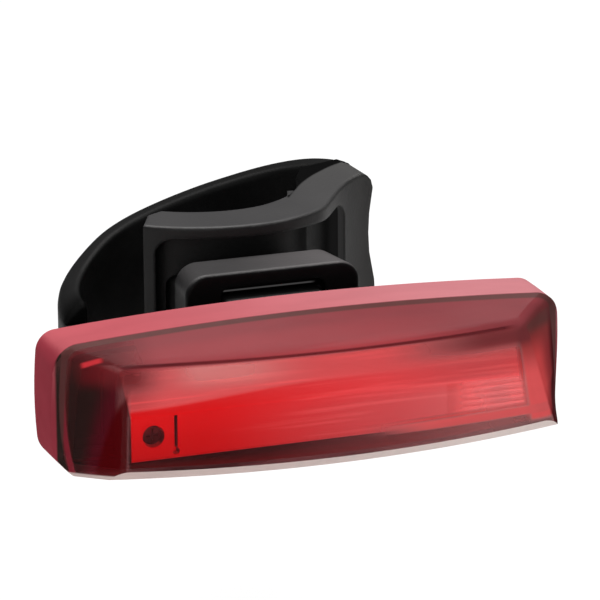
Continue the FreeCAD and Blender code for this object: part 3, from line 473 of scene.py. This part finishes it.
# tones, painted shade and painted light at single places on the three big black pieces, in millimetres
cradleLook = {
    "levelTurn": (0.3, 0.8), "west": (-14.0, 4.0), "westShare": 0.6,
    "topRight": (0.044, 0.043, 0.043), "topAcross": (8.0, 20.0),
    "farRight": ((20.0, 24.0), (0.050, 0.049, 0.048)),
    "sweepFrom": (11.95, -9.64), "sweepRise": 1.5, "sweepBow": 0.055, "sweepSoft": (-0.2, 0.5),
    "sweepStart": (-2.2, -1.5), "recessHalf": (15.3, 15.8), "recessAcross": (6.5, 9.5),
    "floorFrom": (13.7, -17.4), "floorRise": 1.34, "floorSoft": (-0.3, 0.3), "floorShare": 0.9,
    "endTurn": (-0.8, -0.6), "endAcross": (17.5, 19.0), "eastAcross": (16.2, 18.6), "darkSheen": 0.02,
    "endGlow": 0.018, "eastGlow": 0.0072}
bracketLook = {
    "levelTurn": (0.4, 0.9), "topRight": (0.105, 0.098, 0.100), "topAcross": (-8.0, 12.0),
    "lineUp": (10.0, 10.1, 10.22, 10.32), "lineAcross": (-9.0, -7.0, 6.2, 7.2),
    "lineDepth": (-31.5, -31.3, -30.9, -30.7), "lineGlow": 0.05}
strapRimLook = {"shade": (0.004, 0.004, 0.004), "depth": (-2.2, 3.5), "across": (-17.0, -15.0),
                "height": (-2.0, -0.5), "sheen": 0.02}


def cradleTones(s, base, sheen, deep):
    # painted shade: the ear's top is painted dark beyond a sweeping line, as if it dropped away into the
    # shaded hollow, and the recess is painted dark with shade; a faint painted glow lightens the recess's
    # right end and its end wall
    look = cradleLook
    x, y, z = s.millimetres()
    normalX, normalY, normalZ = s.normals()
    level = s.rise(normalZ, look["levelTurn"])
    west = s.times(s.rise(x, look["west"], look["westShare"], 0.0), s.minus(1.0, level))
    base = s.mixColour(west, base, deep)
    base = s.mixColour(s.times(level, s.rise(x, look["topAcross"])), base, look["topRight"])
    startX, startY = look["sweepFrom"]
    away = s.minus(x, startX)
    bow = s.times(away, away, look["sweepBow"])
    sweep = s.plus(s.minus(s.times(away, look["sweepRise"]), bow), startY)
    past = s.times(s.rise(s.minus(y, sweep), look["sweepSoft"]), s.rise(away, look["sweepStart"]))
    opening = s.times(s.fall(s.math("ABSOLUTE", z), look["recessHalf"]), s.rise(x, look["recessAcross"]))
    startX, startY = look["floorFrom"]
    floorLine = s.plus(s.times(s.minus(x, startX), look["floorRise"]), startY)
    sunk = s.times(opening, s.rise(s.minus(y, floorLine), look["floorSoft"]))
    east = s.times(sunk, s.rise(x, look["eastAcross"]))
    endWall = s.times(s.fall(normalX, look["endTurn"]), opening, s.rise(x, look["endAcross"]))
    base = s.turnTo(base, x, look["farRight"])
    dark = s.math("MAXIMUM", past, s.times(sunk, look["floorShare"]))
    base = s.mixColour(dark, base, deep)
    sheen = s.mixValue(dark, sheen, look["darkSheen"])
    return base, sheen, s.plus(s.times(east, look["eastGlow"]), s.times(endWall, look["endGlow"]))


def bracketTones(s, base, sheen, deep):
    # the painted light on the top grows paler to the right, and a thin painted highlight glows across the
    # back of the channel
    look = bracketLook
    x, y, z = s.millimetres()
    level = s.rise(s.normals()[2], look["levelTurn"])
    base = s.mixColour(s.times(level, s.rise(x, look["topAcross"])), base, look["topRight"])
    line = s.times(s.window(z, look["lineUp"]), s.window(x, look["lineAcross"]))
    return base, sheen, s.times(line, s.window(y, look["lineDepth"]), look["lineGlow"])


def strapTones(s, base, sheen, deep):
    # the rim darkens where the band comes down to its tongue
    look = strapRimLook
    x, y, z = s.millimetres()
    near = s.times(s.fall(y, look["depth"]), s.fall(x, look["across"]), s.rise(z, look["height"]))
    return s.mixColour(near, base, look["shade"]), s.mixValue(near, sheen, look["sheen"]), 0.0


def plainSurface(name, look, adjust):
    # solid material with mottled colour, uneven gloss, fine grain and softened edges, and, where the look
    # gives a top tone, painted light on upper faces and painted shade in hollows
    look = {**commonLook, **look}
    s = Shader(name)
    mottle = s.noise(look["mottleScale"], 3.0, look["stretch"])
    grain = s.noise(look["grainScale"], 2.0)
    base = s.mixColour(s.rise(mottle, look["mottleSpan"]), look["dark"], look["light"])
    rough = s.rise(mottle, look["glossSpan"], look["rough"] - look["roughSpread"], look["rough"])
    sheen = look["specular"]
    glow = 0.0
    if "top" in look:
        # painted light and shade: faces that look up are painted paler and shinier as if lit from above,
        # and hollows are painted darker as shade
        up = s.rise(s.normals()[2], look["topTurn"])
        if "topEast" in look:
            up = s.times(up, s.rise(s.millimetres()[0], look["eastAcross"], 1.0, look["topEast"]))
        base = s.mixColour(up, base, look["top"])
        sheen = s.mixValue(up, look["sideSheen"], sheen)
        hollow = s.add("AmbientOcclusion", Distance=look["reach"])
        hollow.samples = 8
        base = s.mixColour(s.rise(hollow.outputs["AO"], look["hollowSpan"]), look["deep"], base)
    if adjust:
        base, sheen, glow = adjust(s, base, sheen, look["deep"])
    body = s.add("BsdfPrincipled", Base_Color=base, Roughness=rough, Metallic=look["metal"],
                 Normal=s.bump(grain, look["grain"], look["edge"]), Specular_IOR_Level=sheen,
                 Emission_Color=look["glowTone"], Emission_Strength=glow)
    return s.finish(body)


adjustments = {"strap rubber": strapTones, "cradle rubber": cradleTones, "bracket plastic": bracketTones}
materials = {}
for name, members in pieces.items():
    materials[name] = plainSurface(name, looks[name], adjustments.get(name))
    for member in members:
        paint(member, materials[name])
print("surfaces painted:", len(pieces) + 3)

# one smooth strap in place of its two CAD parts: it bends evenly where they meet. The rim and the
# low edge are heights over x. Millimetres and degrees.
strapLook = {
    "centre": -2.5, "outer": 21.7, "thickness": 3.4, "from": 11.0, "to": 181.4, "steps": 84,
    "flare": 4.4, "flareFull": 12.0, "flareEnd": 80.0, "round": 0.9, "arc": 4, "endRound": 0.9,
    "shoulder": 0.35, "smooth": 1.2,
    "rim": [(-23, -1.6), (-21.4, 0.3), (-20.2, 1.7), (-18.3, 2.7), (-16.1, 3.8), (-13.8, 5.0),
            (-11.8, 6.1), (-9.7, 7.2), (-6, 8.6), (-2.6, 9.7), (0.8, 10.8), (4, 11.9), (6.9, 12.9),
            (10, 13.85), (12.8, 14.75), (15.7, 15.7), (18.4, 16.55), (20.8, 17.3), (23.5, 17.95),
            (26, 18.35)],
    "low": [(-25, -11.3), (-16.3, -11.3), (20, -18.0), (26, -18.3)],
    "bendFrom": (-7.5, 16.0, 0.0), "bendTo": (-16.2, 9.3, 0.0), "tongueFrom": -2.55}


def between(table, x):
    for (x0, y0), (x1, y1) in zip(table, table[1:]):
        if x <= x1:
            return y0 + (y1 - y0) * (x - x0) / (x1 - x0)
    return table[-1][1]


def eased(table, x, step):
    return sum(between(table, x + offset) for offset in (-step, 0.0, step)) / 3


def planPoint(look, radius, degrees):
    share = (look["flareEnd"] - degrees) / (look["flareEnd"] - look["flareFull"])
    share = min(1.0, max(0.0, share))
    radius += look["flare"] * (0.5 - 0.5 * math.cos(math.pi * share))
    angle = math.radians(degrees)
    return Vector((radius * math.cos(angle), look["centre"] + radius * math.sin(angle)))


def strapSection(look, degrees, toEnd):
    # closed loop of points around the band: inner top, outer top, outer bottom, inner bottom
    outer = planPoint(look, look["outer"], degrees)
    inner = planPoint(look, look["outer"] - look["thickness"], degrees)
    across = (outer - inner).normalized()
    thickness = (outer - inner).length
    r = look["round"]
    near = max(0.0, look["endRound"] - toEnd)
    drop = look["endRound"] - math.sqrt(look["endRound"] ** 2 - near ** 2)
    loop = []
    for first, edge, side in ((180, "rim", 1), (90, "rim", 1), (0, "low", -1), (-90, "low", -1)):
        angles = [math.radians(first - 90 * k / look["arc"]) for k in range(look["arc"] + 1)]
        points = [(math.cos(angle), math.sin(angle)) for angle in angles]
        if first in (180, 0):
            points.insert(0, (points[0][0], -look["shoulder"] * side))
        else:
            points.append((points[-1][0], -look["shoulder"] * side))
        middle = r if first in (180, -90) else thickness - r
        for c, q in points:
            spot = inner + across * (middle + r * c)
            level = eased(look[edge], spot.x, look["smooth"]) - side * (drop + r)
            loop.append(Vector((spot.x, spot.y, level + r * q)) * 0.001)
    return loop


def buildStrap(look):
    # the end of the CAD strap with its tongue is kept, and a new band is swept round to it
    bm = bmesh.new()
    bm.from_mesh(nodes["strap_end"].data)
    bm.transform(nodes["strap_end"].matrix_world)
    everything = bm.verts[:] + bm.edges[:] + bm.faces[:]
    bmesh.ops.bisect_plane(bm, geom=everything, plane_co=(0, look["tongueFrom"] / 1000, 0),
                           plane_no=(0, 1, 0), clear_outer=True)
    loops = []
    for i in range(look["steps"] + 1):
        degrees = look["from"] + (look["to"] - look["from"]) * i / look["steps"]
        toEnd = math.radians(look["to"] - degrees) * look["outer"]
        loops.append([bm.verts.new(p) for p in strapSection(look, degrees, toEnd)])
    for a, b in zip(loops, loops[1:]):
        for k in range(len(a)):
            face = bm.faces.new((a[k - 1], a[k], b[k], b[k - 1]))
            face.smooth = True
    bm.faces.new(loops[0])
    bm.faces.new(loops[-1])
    bmesh.ops.recalc_face_normals(bm, faces=bm.faces[:])
    mesh = bpy.data.meshes.new("strap")
    bm.to_mesh(mesh)
    bm.free()
    strap = bpy.data.objects.new("strap", mesh)
    scene.collection.objects.link(strap)
    return strap


strap = buildStrap(strapLook)
strap.data.materials.append(materials["strap rubber"])
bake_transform(strap)
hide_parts("strap_root", "strap_end")
print("strap built with", len(strap.data.vertices), "points")

# floor, light and camera
floorLook = {"height": -0.046, "size": 6.0, "grey": (0.85, 0.86), "speckleScale": 3.0,
             "speckleSpan": (0.3, 0.7), "cameraGlow": 0.85, "glow": 1.1}


def floorMaterial(look):
    # it lights the object as a plain grey floor, and glows nearly white to the camera
    s = Shader("pale floor")
    speckle = s.rise(s.noise(look["speckleScale"], 2.0), look["speckleSpan"], *look["grey"])
    tone = s.add("CombineColor", Red=speckle, Green=speckle, Blue=speckle)
    body = s.add("BsdfDiffuse", Color=tone)
    glow = s.add("Emission", Color=(1, 1, 1), Strength=look["glow"])
    path = s.add("LightPath")
    seen = s.math("MAXIMUM", path.outputs["Is Camera Ray"], path.outputs["Is Transmission Ray"])
    return s.finish(s.mixShader(s.times(seen, look["cameraGlow"]), body, glow))


mesh = bpy.data.meshes.new("floor")
half = floorLook["size"] / 2
corners = [(-half, -half, 0), (half, -half, 0), (half, half, 0), (-half, half, 0)]
mesh.from_pydata(corners, [], [(0, 1, 2, 3)])
mesh.materials.append(floorMaterial(floorLook))
floor = bpy.data.objects.new("floor", mesh)
floor.location = (0, 0, floorLook["height"])
scene.collection.objects.link(floor)

worldLook = {"above": (0.92, 0.93, 0.95), "level": (0.62, 0.62, 0.63), "strength": 0.16}
world = bpy.data.worlds.new("studio")
world.use_nodes = True
scene.world = world
tree = world.node_tree
background = tree.nodes["Background"]
coords = tree.nodes.new("ShaderNodeTexCoord")
split = tree.nodes.new("ShaderNodeSeparateXYZ")
blend = tree.nodes.new("ShaderNodeMix")
blend.data_type = "RGBA"
blend.inputs[6].default_value = (*worldLook["level"], 1.0)
blend.inputs[7].default_value = (*worldLook["above"], 1.0)
tree.links.new(coords.outputs["Generated"], split.inputs[0])
tree.links.new(split.outputs["Z"], blend.inputs[0])
tree.links.new(blend.outputs[2], background.inputs["Color"])
background.inputs["Strength"].default_value = worldLook["strength"]

lightLook = {
    "top softbox": {"at": (0.02, 0.10, 0.60), "size": (0.7, 0.5), "power": 5.2, "tone": (1, 0.985, 0.97)},
    "front softbox": {"at": (-0.35, -0.75, 0.40), "size": (0.6, 0.6), "power": 1.6, "tone": (1, 1, 1)},
}
lightTarget = Vector((0, -0.035, 0.0))
for name, look in lightLook.items():
    data = bpy.data.lights.new(name, "AREA")
    data.shape = "RECTANGLE"
    data.size, data.size_y = look["size"]
    data.energy = look["power"]
    data.color = look["tone"]
    light = bpy.data.objects.new(name, data)
    light.location = look["at"]
    light.rotation_euler = (lightTarget - light.location).to_track_quat("-Z", "Y").to_euler()
    scene.collection.objects.link(light)

# the photograph was taken from the object's left, a little above, with a long lens
cameraLook = {"azimuth": 20.5, "elevation": 16.0, "roll": 0.43, "distance": 0.5591, "lens": 238.3,
              "sensor": 36.0, "centre": (0, -0.040, 0), "shift": (0.001253, 0.010088), "clipStart": 0.01}
turn = math.radians(cameraLook["azimuth"])
lift = math.radians(cameraLook["elevation"])
lean = math.radians(cameraLook["roll"])
right = Vector((math.cos(turn), -math.sin(turn), 0))
forward = Vector((math.sin(turn) * math.cos(lift), math.cos(turn) * math.cos(lift), -math.sin(lift)))
up = right.cross(forward)
sideways = right * math.cos(lean) - up * math.sin(lean)
upwards = right * math.sin(lean) + up * math.cos(lean)
shiftAcross, shiftUp = cameraLook["shift"]
place = Vector(cameraLook["centre"]) + sideways * shiftAcross + upwards * shiftUp
place = place - forward * cameraLook["distance"]
cameraData = bpy.data.cameras.new("camera")
cameraData.lens = cameraLook["lens"]
cameraData.sensor_width = cameraLook["sensor"]
cameraData.clip_start = cameraLook["clipStart"]
camera = bpy.data.objects.new("camera", cameraData)
turned = Matrix((sideways, upwards, -forward)).transposed().to_4x4()
camera.matrix_world = Matrix.Translation(place) @ turned
scene.collection.objects.link(camera)
scene.camera = camera
scene.view_settings.view_transform = "Standard"
print("stage set")
